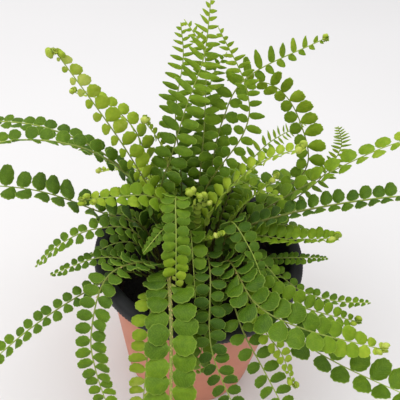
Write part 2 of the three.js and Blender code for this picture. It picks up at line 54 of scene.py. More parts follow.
# A node with its settings and links: names are sockets or properties, whole numbers are sockets
def addNode(tree, kind, settings=None, links=None):
    node = tree.nodes.new(kind)
    for key, value in (settings or {}).items():
        if key == "stops":
            first, *middle, last = value
            node.color_ramp.elements[0].color = linear(first[1])
            node.color_ramp.elements[-1].color = linear(last[1])
            for position, colour in middle:
                node.color_ramp.elements.new(position).color = linear(colour)
        elif isinstance(key, int) or key in node.inputs:
            node.inputs[key].default_value = value
        else:
            setattr(node, key, value)
    for key, socket in (links or {}).items():
        tree.links.new(socket, node.inputs[key])
    return node


# Its terms are sockets or numbers
def addMath(tree, operation, *terms):
    sockets = {place: term for place, term in enumerate(terms)
               if isinstance(term, bpy.types.NodeSocket)}
    numbers = {place: term for place, term in enumerate(terms) if place not in sockets}
    return addNode(tree, "ShaderNodeMath", {"operation": operation, **numbers}, sockets).outputs[0]


def addTint(tree, share, under, colour):
    return addNode(tree, "ShaderNodeMixRGB", {"Color2": linear(colour)},
                   {"Fac": share, "Color1": under}).outputs[0]


def addAttribute(tree, name):
    return addNode(tree, "ShaderNodeAttribute", {"attribute_name": name}).outputs["Fac"]


# Noise on Object coordinates, its grain given in millimetres
def grain(tree, size, detail=3, roughness=0.5):
    place = addNode(tree, "ShaderNodeTexCoord")
    return addNode(tree, "ShaderNodeTexNoise",
                   {"Scale": 1 / (size * mm), "Detail": detail, "Roughness": roughness},
                   {"Vector": place.outputs["Object"]}).outputs[0]


def newMaterial(name, settings):
    material = bpy.data.materials.new(name)
    material.use_nodes = True
    tree = material.node_tree
    tree.nodes.clear()
    shader = addNode(tree, "ShaderNodeBsdfPrincipled", settings)
    addNode(tree, "ShaderNodeOutputMaterial", links={"Surface": shader.outputs[0]})
    return material, tree, shader


def paint(tree, shader, stops, share):
    body = addNode(tree, "ShaderNodeValToRGB", {"stops": stops}, {"Fac": share})
    tree.links.new(body.outputs[0], shader.inputs["Base Color"])


def addBump(tree, shader, height, strength, depth):
    bump = addNode(tree, "ShaderNodeBump", {"Strength": strength, "Distance": depth * mm},
                   {"Height": height})
    tree.links.new(bump.outputs[0], shader.inputs["Normal"])


# Colours run from an old deep green leaflet to a new yellow one, and the deepest stops also serve
# as painted shade for leaflets deep in the fronds; grain is in millimetres.
# The veins are drawn further apart than they grow, where they are too fine to show.
leafLook = {
    "skin": {"IOR": 1.4, "Specular IOR Level": 0.22, "Subsurface Weight": 0.12,
             "Subsurface Radius": (0.4, 1.0, 0.15), "Subsurface Scale": 0.6 * mm},
    "stops": [(0, "#32500a"), (0.3, "#52700f"), (0.55, "#728f16"), (0.8, "#9aaf2c"),
              (1, "#c6ce66")],
    "underStops": [(0, "#4f6f22"), (0.5, "#76962c"), (1, "#b3c04a")],
    "mottle": 0.34,
    "underMottle": 0.2,
    "edge": "#a3bb4c",
    "edgeShare": 0.5,
    "edgeThin": 3.0,
    "vein": "#86a53c",
    "veinShare": 0.15,
    "veinPairs": 8,
    "veinSlant": -0.75,
    "veinThin": 5.0,
    "veinDepth": -0.6,
    "wander": 0.3,
    "blotch": 2.6,
    "pucker": 0.9,
}


# Living fern blade: a waxy skin over soft green tissue, so it has a soft sheen and glows a little
def leafMaterial(look):
    material, tree, shader = newMaterial("fernBladeUpper", {"Roughness": 0.5, **look["skin"]})
    shift = addMath(tree, "MULTIPLY_ADD", grain(tree, look["blotch"]), look["mottle"],
                    -look["mottle"] / 2)
    shade = addMath(tree, "ADD", addAttribute(tree, "tone"), shift)
    body = addNode(tree, "ShaderNodeValToRGB", {"stops": look["stops"]}, {"Fac": shade})
    # veins run out and forward from the middle of the blade, and each wanders a little
    blade = addNode(tree, "ShaderNodeUVMap", {"uv_map": "blade"})
    across, along = addNode(tree, "ShaderNodeSeparateXYZ", links={0: blade.outputs[0]}).outputs[:2]
    away = addMath(tree, "ABSOLUTE", addMath(tree, "SUBTRACT", across, 0.5))
    wander = addMath(tree, "MULTIPLY_ADD", grain(tree, look["pucker"]), look["wander"], along)
    slant = addMath(tree, "MULTIPLY_ADD", away, look["veinSlant"], wander)
    wave = addMath(tree, "SINE", addMath(tree, "MULTIPLY", slant, look["veinPairs"] * math.pi))
    line = addMath(tree, "POWER", addMath(tree, "ABSOLUTE", wave), look["veinThin"])
    veinShare = addMath(tree, "MULTIPLY", line, look["veinShare"])
    veined = addTint(tree, veinShare, body.outputs[0], look["vein"])
    edge = addMath(tree, "POWER", addAttribute(tree, "rim"), look["edgeThin"])
    edgeShare = addMath(tree, "MULTIPLY", edge, look["edgeShare"])
    edged = addTint(tree, edgeShare, veined, look["edge"])
    tree.links.new(edged, shader.inputs["Base Color"])
    relief = addMath(tree, "MULTIPLY_ADD", line, look["veinDepth"], grain(tree, look["pucker"], 2))
    addBump(tree, shader, relief, strength=0.55, depth=0.2)
    return material


# Underside of the blade: paler than the upper side, and duller
def undersideMaterial(look):
    material, tree, shader = newMaterial("fernBladeUnderside", {"Roughness": 0.62, **look["skin"]})
    shade = addMath(tree, "MULTIPLY_ADD", grain(tree, look["blotch"]), look["underMottle"],
                    addAttribute(tree, "tone"))
    paint(tree, shader, look["underStops"], shade)
    addBump(tree, shader, grain(tree, look["pucker"]), strength=0.3, depth=0.1)
    return material


# Rachis: a smooth green-brown stalk, browner and woodier at the foot
def rachisMaterial():
    material, tree, shader = newMaterial("fernRachis", {"Roughness": 0.5, "IOR": 1.45})
    streak = addMath(tree, "MULTIPLY_ADD", grain(tree, 1.2), 0.3, -0.15)
    shade = addMath(tree, "ADD", streak, addAttribute(tree, "tone"))
    paint(tree, shader, [(0, "#3f3a1a"), (0.3, "#5b5a22"), (0.65, "#74802f"), (1, "#9db048")],
          shade)
    return material


# Scales of the stalk: dry papery flakes, matt straw brown
def scaleMaterial():
    material, tree, shader = newMaterial("fernScale", {"Roughness": 0.8, "IOR": 1.4})
    paint(tree, shader, [(0, "#86673a"), (0.5, "#b39d63"), (1, "#cdbb86")], grain(tree, 0.8))
    return material


# A frond's faces choose among these by their place here
frondMaterials = [leafMaterial(leafLook), undersideMaterial(leafLook), rachisMaterial(),
                  scaleMaterial()]


def asMesh(bm, name):
    mesh = bpy.data.meshes.new(name)
    bm.to_mesh(mesh)
    bm.free()
    return mesh


def addObject(name, data):
    item = bpy.data.objects.new(name, data)
    bpy.context.scene.collection.objects.link(item)
    return item


def makeObject(name, bm, materials):
    bmesh.ops.scale(bm, vec=(mm, mm, mm), verts=bm.verts)
    mesh = asMesh(bm, name)
    for material in materials:
        mesh.materials.append(material)
    return addObject(name, mesh)


def finishPiece(name, bm, materials, replaced):
    piece = makeObject(name, bm, materials)
    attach(piece, "root")
    if replaced:
        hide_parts(replaced)
    return piece


def smoothFaces(bm):
    for face in bm.faces:
        face.smooth = True


# What a frond's mesh carries: rims, tones of age and painted shade, and places on each blade
def addLayers(bm):
    rim = bm.verts.layers.float.new("rim")
    bm.verts.layers.float.new("tone")
    return rim, bm.loops.layers.uv.new("blade")


# A thin disc one wide, and its two faces
def thinDisc(sides, thickness):
    bm = bmesh.new()
    bmesh.ops.create_circle(bm, cap_ends=True, segments=sides, radius=0.5)
    under = bm.faces[:][0]
    lifted = bmesh.ops.extrude_face_region(bm, geom=[under], use_keep_orig=True)["geom"]
    top = [part for part in lifted if isinstance(part, bmesh.types.BMFace)][0]
    bmesh.ops.translate(bm, vec=(0, 0, thickness), verts=top.verts)
    bmesh.ops.recalc_face_normals(bm, faces=bm.faces)
    return bm, under, top


# Joins a copy of a small mesh to a piece, in one tone or one look
def addCopy(bm, mesh, matrix, tone=None, look=None):
    piece = mesh.copy()
    if tone is not None:
        piece.attributes["tone"].data.foreach_set("value", [tone] * len(piece.vertices))
    if look is not None:
        piece.polygons.foreach_set("material_index", [look] * len(piece.polygons))
    piece.transform(matrix)
    bm.from_mesh(piece)
    bpy.data.meshes.remove(piece)


# Shares are of the leaflet's length. base and broadBase are the foot's width against the widest
# part, on a round leaflet and on a pointed one, whose foot also reaches over the rib by tuck.
leaflet = {
    "points": {"fine": 33, "small": 21},
    "margin": 0.09,
    "thickness": 0.035,
    "scallop": 0.06,
    "bulge": 0.2,
    "notchEvery": 3,
    "slimNotch": 0.5,
    "blunt": 0.92,
    "cup": 0.13,
    "cupPlay": (0.5, 1.4),
    "slimCup": 0.5,
    "droop": 0.09,
    "droopPlay": (0.2, 1.8),
    "skew": 0.05,
    "ripple": 0.025,
    "waves": 3,
    "base": 0.56,
    "broadBase": 0.95,
    "neck": 0.34,
    "neckCurve": 0.7,
    "tuck": 0.07,
    "slimmer": 0.08,
    "pointed": 0.72,
    "taper": 1.3,
    "curved": 0.2,
    "bow": 0.06,
    "sharp": 0.9,  # radians
    "levels": 4,
    "kinds": 4,
    "fineFrom": 4.6,  # millimetres
}


# A leaflet one long and one wide, its foot at the origin, growing along +Y with the frond's tip
# towards +X for the left row and -X for the right row
def leafletMesh(level, kind, hand, detail):
    form = leaflet
    points = form["points"][detail]
    slim = level / (form["levels"] - 1)
    draw = random.Random(31 * level + kind)
    phase = draw.uniform(0, math.tau)
    cup = form["cup"] * draw.uniform(*form["cupPlay"])
    droop = form["droop"] * draw.uniform(*form["droopPlay"])
    skew = draw.uniform(-form["skew"], form["skew"])
    bm, under, top = thinDisc(points, form["thickness"])
    bmesh.ops.inset_region(bm, faces=[top], thickness=form["margin"], use_even_offset=True)
    under.material_index = 1
    bmesh.ops.poke(bm, faces=[top, under])
    rim, blade = addLayers(bm)
    for vert in bm.verts:
        x, y = 2 * vert.co.x, 2 * vert.co.y
        reach = math.hypot(x, y)
        angle = math.atan2(y, x) + math.pi / 2
        # a point of the outline is in a notch between two scallops, or on one
        if reach > 0.99:
            vert[rim] = 1
            place = round(angle / math.tau * points)
            notch = form["bulge"] if place % form["notchEvery"] else -1
            grown = 1 + notch * form["scallop"] * (1 - form["slimNotch"] * slim)
            x, y = x * grown, y * grown
        x, y = (math.copysign(abs(value) ** form["blunt"], value) for value in (x, y))
        out = max(0, (y + 1) / 2)
        base = form["base"] + (form["broadBase"] - form["base"]) * slim
        foot = base + (1 - base) * min(1, out / form["neck"]) ** form["neckCurve"]
        width = foot * (1 - form["slimmer"] * slim)
        width *= 1 - form["pointed"] * slim * out ** form["taper"]
        bend = form["curved"] * slim * out * out + form["bow"] * out * (1 - out) + skew * out
        fall = cup * (1 - form["slimCup"] * slim) * x * x + droop * out * out
        wave = form["ripple"] * reach * reach * math.sin(form["waves"] * angle + phase)
        tuck = form["tuck"] * slim
        vert.co = (x * 0.5 * width + bend, out * (1 + tuck) - tuck, vert.co.z - fall + wave)
    for face in bm.faces:
        for loop in face.loops:
            loop[blade].uv = (loop.vert.co.x + 0.5, loop.vert.co.y)
    if hand > 0:
        bmesh.ops.scale(bm, vec=(-1, 1, 1), verts=bm.verts)
        bmesh.ops.reverse_faces(bm, faces=bm.faces)
    # the blade shades smooth, apart from the edges where two of its faces meet sharply
    smoothFaces(bm)
    for edge in bm.edges:
        edge.smooth = edge.calc_face_angle(0) < form["sharp"]
    return asMesh(bm, "leaflet")


leafletMeshes = {(level, kind, hand, detail): leafletMesh(level, kind, hand, detail)
                 for level in range(leaflet["levels"])
                 for kind in range(leaflet["kinds"])
                 for hand in (-1, 1)
                 for detail in leaflet["points"]}

# The stalk's scales: how many there are for each millimetre, how far up they reach, and how they
# lie; a scaly stalk has them smaller, along its whole length
scales = {
    "sides": 6,
    "thickness": 0.08,
    "width": 0.36,
    "rise": 0.18,
    "each": 0.14,
    "reach": 0.55,
    "thinning": 1.6,
    "first": 2,
    "sunk": 0.92,
    "lines": (0.35, 0.95),  # radians from the middle of the upper side
    "size": (0.8, 1.7),
    "smaller": 0.7,
    "turn": 0.5,
}


# One flake of the stalk's scales, a thin lens that lies along +Y
def scaleMesh():
    bm, _, _ = thinDisc(scales["sides"], scales["thickness"])
    for vert in bm.verts:
        along = vert.co.y + 0.5
        vert.co = (vert.co.x * scales["width"], along, vert.co.z + scales["rise"] * along ** 2)
    for face in bm.faces:
        face.material_index = 3
    return asMesh(bm, "scale")


# Leaflets that are still rolled up, and how they sit at the frond's tip
buds = {
    "lobes": 5,
    "lobe": 0.1,
    "flat": 0.7,
    "count": 2,
    "size": 4.0,
    "sizePlay": (0.85, 1.1),
    "smaller": 0.08,
    "beyond": 0.5,
    "step": 3.2,
    "aside": 0.45,
    "lift": 0.25,
    "tone": 0.2,
    "tonePlay": (-0.06, 0.1),
    "turn": 0.5,
}


# A small flattened ball, scalloped round its rim
def budMesh():
    bm = bmesh.new()
    bmesh.ops.create_icosphere(bm, subdivisions=2, radius=0.5)
    addLayers(bm)
    for vert in bm.verts:
        turn = math.atan2(vert.co.z, vert.co.y)
        vert.co *= 1 + buds["lobe"] * math.sin(buds["lobes"] * turn)
        vert.co.x *= buds["flat"]
    smoothFaces(bm)
    return asMesh(bm, "bud")


flake = scaleMesh()
bud = budMesh()

# The stalk's radii are at its foot, where its leaflets begin and at its tip. Shares of a frond
# run from its first leaflet to its tip.
growth = {
    "foot": 84,  # height where the stalk starts, under the soil
    "neck": 2,  # height over the soil where it may start to lean
    "splineSteps": 16,
    "radii": (0.85, 0.44, 0.22),
    "middle": 0.3,
    "ribSides": 8,
    "ribStep": 2.6,
    "ribTone": 0.1,
    "pitch": 0.86,  # of the leaflet's length
    "wide": 0.95,  # of the pitch
    "narrowest": {"upright": 0.36, "spread": 0.45},
    "broadest": 1.25,  # of the leaflet's length
    "slimWidth": 0.1,
    "slimming": 0.8,
    "least": 1.3,  # shortest leaflet
    "shoulder": {"narrow": 0.5, "broad": 0.66},  # share past which they get shorter
    "rise": {"upright": (0.72, 0.7), "spread": (0.7, 1.5)},  # length and growth at the first
    "tip": 0.35,
    "fall": 1.3,
    "last": {"from": 0.9, "over": 0.1, "by": 0.4},
    # share of the stalk that has no leaflets
    "bare": {"dark": 0.18, "mid": 0.2, "young": 0.24},
    "tone": {"dark": 0.14, "mid": 0.38, "young": 0.66},
    "brighten": {"dark": 0.2, "mid": 0.3, "young": 0.24},
    "brightenFrom": 0.15,
    "brightenCurve": 1.4,
    "tonePlay": 0.08,
    # leaflets near the crown are darker, up to the share until and by this much: partly older
    # leaflets, partly painted shade
    "olderAndShaded": {"until": 0.4, "by": 0.14},
    "loose": 1.6,  # how much more unruly the leaflets are near the crown
    "lean": 6,
    "tipLean": 24,
    "yawPlay": 9,
    "sizePlay": 0.1,
    "crowding": 0.35,
    "crowdedFrom": 0.35,
    "even": 0.45,
    "tight": {"from": 0.5, "over": 0.4, "by": 0.55},
    "packedUntil": 0.4,
    "roll": 8,
    "uprightRoll": -16,
    "rollPlay": 10,
    "foldPlay": 10,
    "seat": (0.7, 0.2),  # of the rib's radius, aside and up
    "clear": 1.4,  # from a place on a leaflet to another frond
    "holdStep": 1.2,
    "shrunk": (1, 0.85, 0.7, 0.5),
    "bent": (0, 14, -14, 28, -28, 42),
    "endMargin": 0.5,
    "fullCurl": 6,  # leaflet length from which the curl has its full size
    "curlRadius": 1.5,
    "curlTurns": 1.35,
    "curlSteps": 20,
    "curlTighter": 0.62,
    "coilLeaf": 2.0,
    "coilPitch": 0.6,
    "coilFold": 66,
}

# A frond's plan: where it roots, its longest leaflets and their fold in degrees, and the points
# that its rib passes through. facing is the heading that an upright one's back is turned to, and
# twist its turn about the rib, in degrees. pitch is the millimetres from leaflet to leaflet, wide
# their width as a share of it, even how little it shortens towards the tip, packed and tight how
# much closer the first and the last leaflets stand, and shift the share of it that the first is
# further out. rows are the lengths of the left and the right row as shares, full the least share
# near the crown. Past the share slender the leaflets turn narrow and pointed. brighten is how
# much younger they are at the tip, past the share brightenFrom. shade is partly the frond's own
# colour and partly painted light and shade: how much darker or lighter the whole frond is drawn
# than its age gives. buds are rolled-up leaflets at the tip, and plump their size. stout and
# scaly are how many times thicker the stalk and more numerous its scales are.
def plan(name, age, root, leaf, fold, way, **others):
    return {"name": name, "age": age, "root": root, "leaf": leaf, "fold": fold, "way": way,
            **others}


fronds = [
    plan("front_big", "dark", (-8, -17), 11, 5, [(-13, -26, 110), (-14, -40, 124), (-10, -66, 121),
        (-6, -94, 94), (-2, -112, 64)], pitch=7.2, wide=1.38, packed=0.5, shoulder=0.75, tip=0.5,
        brighten=0.35, shade=0.08, stout=2.3, scaly=16),
    plan("front_curled", "mid", (-6, -6), 6.5, 5, [(-9, -8, 125), (-14, -18, 155), (-12, -35, 147),
        (-10, -45, 121)], pitch=4.5, wide=1.15, even=1, shoulder=0.8, tip=0.75, brighten=0.7,
        brightenFrom=0.7, shade=-0.1),
    plan("front_right_big", "mid", (10, -13), 9.5, 12, [(15, -25, 121), (27, -56, 129),
        (48, -67, 129), (86, -66, 118)], pitch=7.2, wide=1.2, packed=0.35, even=0.7, shoulder=0.5,
        tip=0.4, curl=True, brighten=0.72, brightenFrom=0.35, buds=2, shade=-0.25),
    plan("left_high", "dark", (-21, 9), 7, 8, [(-36, 12, 130), (-58, 17, 151), (-95, 26, 158),
        (-140, 38, 149)], pitch=7.4, wide=1.0, stout=1.4),
    plan("left_second", "dark", (-18, -2), 6.5, 32, [(-34, -4, 143), (-54, -4, 165),
        (-86, -6, 171), (-128, -8, 160)], pitch=7.8, wide=0.9, shade=0.06, stout=1.4),
    plan("left_middle", "dark", (-22, -6), 11.5, 18, [(-32, -6, 120), (-53, -8, 130),
        (-86, -12, 145), (-132, -16, 147)], pitch=8.2, wide=0.94, shift=0.5, rows=(0.8, 1.12),
        shoulder=0.85, brighten=0.25, shade=-0.04),
    plan("right_long", "dark", (8, -2), 7.4, 20, [(15, -2, 116), (45, -4, 139), (95, -6, 159),
        (134, -8, 162)], pitch=6.5, wide=1.0, shift=0.5, rows=(1.15, 0.9), shoulder=0.85, tip=0.6,
        shade=-0.08, stout=1.4),
    plan("right_front_dark", "dark", (16, -19), 11.5, 20, [(30, -32, 112), (51, -54, 104),
        (72, -65, 100), (109, -82, 102)], pitch=9.9, wide=0.95, rows=(1, 0.8), shoulder=0.9,
        tip=0.7, brighten=0.25),
    plan("upright_tall", "dark", (-18, 3), 9.8, 10, [(-24, 3, 136), (-19, 6, 162), (-13, 8, 190),
        (-7, 8, 214), (-6, 6, 239)], facing=90, twist=-30, pitch=7.6, wide=0.76, shoulder=0.72,
        tip=0.3, slender=0.3, brighten=0.55, shade=0.05),
    plan("upright_right", "dark", (-3, 4), 6.8, 10, [(-1, 6, 138), (15, 4, 180), (13, 2, 204),
        (-2, -2, 231)], facing=90, twist=-30, pitch=7.4, wide=0.74, rows=(0.8, 1), shoulder=0.85,
        tip=0.45, slender=0.35, brighten=0.55, shade=0.07),
    plan("right_curving", "mid", (15, 13), 10, 10, [(36, 20, 124), (55, 27, 146), (47, 30, 172),
        (30, 28, 193), (4, 20, 200)], facing=68, pitch=7.8, wide=0.86, shift=0.5, rows=(0.66, 1),
        shoulder=0.75, tip=0.5, slender=0.7, tight=0.2, brighten=0.4, shade=0.05),
    plan("upright_bent", "mid", (3, 9), 9.5, 10, [(2, 10, 152), (5, 13, 182), (14, 16, 203),
        (46, 22, 222)], facing=90, pitch=7, wide=0.84, shift=0.5, rows=(1, 0.7), shoulder=0.65,
        tip=0.35, slender=0.5, tight=0.3, curl=True, brighten=0.35, buds=1, plump=0.7,
        shade=-0.08),
    plan("upright_left", "dark", (-11, 13), 9, 10, [(-14, 13, 142), (-19, 18, 178), (-17, 23, 205),
        (-19, 24, 222)], facing=90, pitch=7.4, wide=0.74, shoulder=0.68, tip=0.32, slender=0.3,
        brighten=0.55, shade=0.03),
    plan("upright_middle", "dark", (-4, 13), 8.8, 10, [(-3, 14, 138), (0, 20, 168), (-3, 22, 195),
        (3, 20, 212)], facing=90, pitch=7.6, wide=0.8, shoulder=0.65, tip=0.3, slender=0.3,
        brighten=0.4, shade=0.08),
    plan("upright_behind", "dark", (-4, 8.5), 7.5, 10, [(-4, 9, 140), (-4, 10, 176), (-6, 14, 208),
        (-10, 15, 218), (-17, 17, 226)], facing=90, pitch=6.8, wide=0.76, shoulder=0.7, tip=0.35,
        slender=0.3, brighten=0.5, shade=0.1),
    plan("left_front_long", "dark", (-15, -20), 7, 8, [(-23, -34, 124), (-39, -56, 139),
        (-44, -73, 121), (-41, -82, 101), (-33, -90, 72)], twist=-42, pitch=5.7, wide=0.92,
        shift=0.5, shoulder=0.7, tip=0.55, brighten=0.35),
    plan("left_front_low", "mid", (-23, -22), 5.8, 10, [(-35, -31, 112), (-54, -45, 111),
        (-78, -64, 102), (-104, -86, 84)], pitch=5.5, wide=0.87, shoulder=0.85, tip=0.6,
        shade=-0.24),
    plan("left_young_tall", "young", (-12, -3), 7.8, 10, [(-23, -4, 132), (-41, -6, 173),
        (-67, -8, 218)], twist=-80, pitch=7.4, wide=1.05, rows=(0.55, 1), shoulder=0.6, tip=0.45,
        buds=2, plump=1.1, shade=-0.02, brighten=0.34),
    plan("left_young_back", "young", (-17, 14), 7.5, 30, [(-28, 14, 128), (-38, 16, 165),
        (-55, 20, 180), (-72, 25, 181)], pitch=7.6, wide=0.98, rows=(0.65, 1), tip=0.3, plump=0.7),
    plan("left_young_short", "young", (-9, 8), 5.5, 40, [(-17, 10, 128), (-24, 12, 160),
        (-34, 8, 180)], shade=-0.06),
    plan("left_young_near", "young", (-11, -9), 7.5, 12, [(-15, -10, 134), (-26, -13, 149),
        (-43, -19, 152), (-58, -25, 153)], twist=-45, pitch=6.4, wide=1.2, shoulder=0.4, buds=3,
        shade=-0.32, brighten=0.5),
    plan("left_low", "mid", (-21, -14), 6.2, 10, [(-34, -20, 130), (-52, -26, 136),
        (-68, -31, 129), (-82, -36, 115)], pitch=5.2, wide=0.9, shade=-0.22),
    plan("left_low_short", "mid", (-20, -19), 5.2, 10, [(-34, -28, 116), (-50, -34, 124),
        (-72, -42, 117)], pitch=4.2, shade=-0.36),
    plan("front_left_light", "young", (-14, -25), 8, 5, [(-20, -46, 118), (-20, -64, 116),
        (-20, -72, 98), (-21, -82, 68)], pitch=6.9, wide=0.84, shift=0.5, shoulder=0.85, tip=0.6,
        brighten=0.16, shade=0.03),
    plan("front_left_tip", "mid", (-14, -13), 4.8, 5, [(-15, -18, 128), (-18, -28, 143),
        (-27, -38, 135)], pitch=3.2, wide=1.1, shade=-0.4),
    plan("crozier_front", "young", (3, -6), 4, 45, [(3, -10, 121), (2, -19, 128), (9, -29, 143)],
        buds=4, plump=1.2, shade=-0.2),
    plan("crozier_left", "young", (-2, -5), 4, 45, [(-5, -8, 127), (-5, -9, 142), (1, -10, 148),
        (-9, -12, 153)], buds=5, plump=1.7, shade=-0.08),
    plan("front_centre", "mid", (0, -10), 7.2, 5, [(3, -18, 118), (6, -40, 125), (8, -62, 110),
        (14, -73, 97), (29, -86, 72)], pitch=6.1, wide=0.84, shoulder=0.8, tip=0.6, brighten=0.14,
        shade=-0.38, full=1),
    plan("front_inner", "dark", (-4, -12), 7, 5, [(-6, -14, 128), (-4, -30, 132), (0, -46, 114)],
        shade=0.05, full=1, wide=1.2),
    plan("front_right", "dark", (7, -19), 7.6, 5, [(14, -36, 116), (24, -59, 110), (35, -71, 99),
        (54, -84, 71)], pitch=7.3, wide=0.74, shoulder=0.8, tip=0.6, shade=0.02),
    plan("front_right_young", "young", (16, -13), 7.5, 15, [(26, -29, 114), (42, -42, 116),
        (62, -44, 111), (83, -42, 104)], pitch=6.2, wide=1.0, shade=-0.36),
    plan("front_right_yellow", "young", (12, -23), 5.5, 5, [(24, -40, 115), (33, -58, 113),
        (43, -65, 104), (50, -73, 92)], pitch=5, shade=-0.08),
    plan("right_small_dark", "dark", (21, -9), 5, 10, [(38, -19, 110), (56, -28, 106),
        (72, -36, 111), (85, -42, 120)], pitch=4.6, shade=0.1),
    plan("right_low", "dark", (22, -4), 4.2, 0, [(32, -9, 106), (49, -13, 115), (67, -17, 122)],
        pitch=3.2, wide=1.1, shade=0.06),
    plan("right_curled", "young", (17, -4), 7.5, 35, [(25, -7, 121), (46, -12, 128),
        (69, -15, 135)], pitch=4.4, wide=1.3, tip=0.7, shade=-0.26),
    plan("right_young", "young", (14, 4), 7.4, 16, [(25, 6, 120), (51, 9, 147), (81, 13, 170),
        (104, 16, 182)], pitch=9.4, wide=0.95, rows=(1, 0.75), shoulder=0.85, tip=0.6, curl=False,
        shade=-0.18),
    plan("right_light", "young", (0, -2), 7.2, 26, [(2, -2, 125), (12, -2, 151), (28, -1, 170),
        (44, -1, 178)], pitch=6, wide=1.0, tip=0.55, buds=2),
    plan("right_thin", "young", (10, 2), 4.5, 30, [(18, 1, 131), (27, -4, 152), (34, -5, 163)],
        shade=-0.15),
    plan("right_inner", "mid", (6, 5), 6, 20, [(9, 8, 128), (14, 8, 147), (25, 5, 147),
        (41, 0, 145)], shade=0.05),
    plan("centre_right", "mid", (12, -8), 6.5, 5, [(13, -9, 124), (15, -15, 139), (25, -27, 132),
        (32, -36, 122)], pitch=5.6, wide=1.05, shade=-0.44),
    plan("right_behind", "mid", (19, 9), 7, 10, [(36, 14, 116), (63, 27, 137), (72, 32, 158),
        (66, 29, 174)], facing=90, pitch=4.6, wide=0.8, shoulder=0.6, tip=0.45, slender=0.1,
        brighten=0.4),
    plan("right_back_small", "mid", (8, 12), 7, 10, [(14, 14, 135), (29, 24, 160), (52, 43, 166)],
        facing=80, pitch=4.8, wide=0.8, slender=0.1, shade=0.1),
    plan("left_inner", "mid", (-26, 2), 7, 5, [(-34, 4, 112), (-48, 6, 117), (-64, 8, 108)],
        shade=-0.1),
    plan("left_inner_back", "dark", (-24, 15), 7, 5, [(-32, 20, 112), (-46, 28, 116),
        (-60, 36, 107)], shade=0.15),
    plan("left_inner_near", "dark", (-26, -11), 7, 5, [(-33, -11, 110), (-44, -13, 114),
        (-60, -17, 106)]),
    plan("right_inner_low", "dark", (21, 3), 7.5, 5, [(30, 5, 112), (44, 8, 119), (64, 11, 113)],
        shade=0.1),
    plan("right_inner_back", "mid", (20, 15), 7.5, 5, [(28, 21, 110), (43, 30, 114),
        (62, 40, 106)]),
    plan("centre_low", "mid", (16, -8), 7, 5, [(22, -13, 112), (32, -20, 118), (45, -28, 110)],
        shade=-0.3, full=1, wide=1.2),
    plan("front_lower", "dark", (2, -22), 7.2, 5, [(5, -33, 109), (8, -50, 110), (5, -64, 101),
        (6, -68, 84)], shade=0.1, full=1, wide=1.2),
    plan("back_right", "dark", (14, 8), 9, 8, [(27, 21, 126), (46, 34, 132), (70, 52, 125)],
        shade=0.15),
    plan("back_far_right", "dark", (9, 17), 9, 5, [(16, 34, 120), (24, 58, 116), (30, 78, 98),
        (32, 88, 74)], shade=0.2),
    plan("back_middle", "dark", (2, 18), 9, 5, [(4, 36, 118), (6, 60, 112), (7, 78, 92),
        (6, 86, 66)]),
    plan("back_left", "dark", (-9, 19), 9, 5, [(-20, 36, 120), (-32, 56, 116), (-42, 74, 98),
        (-46, 83, 76)]),
    plan("back_far_left", "young", (-17, 19), 5.5, 10, [(-30, 30, 118), (-48, 43, 122),
        (-70, 54, 108)]),
]


def splinePoint(a, b, c, d, t):
    return 0.5 * (2 * b + (c - a) * t + (2 * a - 5 * b + 4 * c - d) * t * t
                  + (3 * b - a - 3 * c + d) * t * t * t)


def ribPoints(frond):
    foot = Vector((*frond["root"], soilTop + growth["neck"]))
    way = [Vector(point) for point in frond["way"]]
    before = Vector((way[0].x, way[0].y, 2 * foot.z - way[0].z))
    knots = [before, foot, *way, 2 * way[-1] - way[-2]]
    points = [foot.copy() for _ in range(2)]
    points[0].z = growth["foot"]
    points[1].z = soilTop
    steps = growth["splineSteps"]
    for span in range(1, len(knots) - 2):
        points += [splinePoint(*knots[span - 1:span + 3], step / steps) for step in range(steps)]
    return points + [way[-1]]


def isCurled(frond):
    return frond.get("curl", frond["age"] == "young")


def frameOf(point, ahead, side, distance):
    return {"point": point, "ahead": ahead, "side": side, "face": side.cross(ahead),
            "distance": distance}


# Frames along the rib, from its foot to its tip, and round the curl of a frond that unrolls
def growRib(frond):
    points = ribPoints(frond)
    tip = Vector(frond["way"][-1])
    lean = math.atan2(tip.y - frond["root"][1], tip.x - frond["root"][0])
    heading = math.radians(frond["facing"]) if "facing" in frond else lean
    level = Vector((math.sin(heading), -math.cos(heading), 0))
    twist = math.radians(frond.get("twist", 0))
    frames = []
    distance = 0
    for index, point in enumerate(points):
        before = points[max(index - 1, 0)]
        after = points[min(index + 1, len(points) - 1)]
        ahead = (after - before).normalized()
        level = (level - ahead * level.dot(ahead)).normalized()
        side = Matrix.Rotation(twist * index / (len(points) - 1), 3, ahead) @ level
        distance += (point - before).length
        frames.append(frameOf(point, ahead, side, distance))
    straight = distance
    if isCurled(frond):
        radius = growth["curlRadius"] * min(1, frond["leaf"] / growth["fullCurl"])
        steps = growth["curlSteps"]
        turn = math.tau * growth["curlTurns"] / steps
        for step in range(1, steps + 1):
            last = frames[-1]
            ahead = Matrix.Rotation(turn, 3, last["side"]) @ last["ahead"]
            stride = turn * radius * (1 - growth["curlTighter"] * step / steps)
            distance += stride
            frames.append(frameOf(last["point"] + ahead * stride, ahead, last["side"], distance))
    return {"frames": frames, "places": [here["distance"] for here in frames],
            "start": soilTop - growth["foot"] + growth["neck"], "straight": straight,
            "length": distance, "stout": frond.get("stout", 1)}


def frameAt(rib, distance):
    index = min(max(bisect_left(rib["places"], distance), 1), len(rib["frames"]) - 1)
    low, high = rib["frames"][index - 1], rib["frames"][index]
    share = (distance - low["distance"]) / (high["distance"] - low["distance"])
    blend = {key: low[key].lerp(high[key], share) for key in ("point", "ahead", "side", "face")}
    return {key: value if key == "point" else value.normalized() for key, value in blend.items()}


# A seat at a point, with the three directions as its axes
def seatAt(point, *axes):
    return Matrix.Translation(point) @ Matrix(axes).transposed().to_4x4()


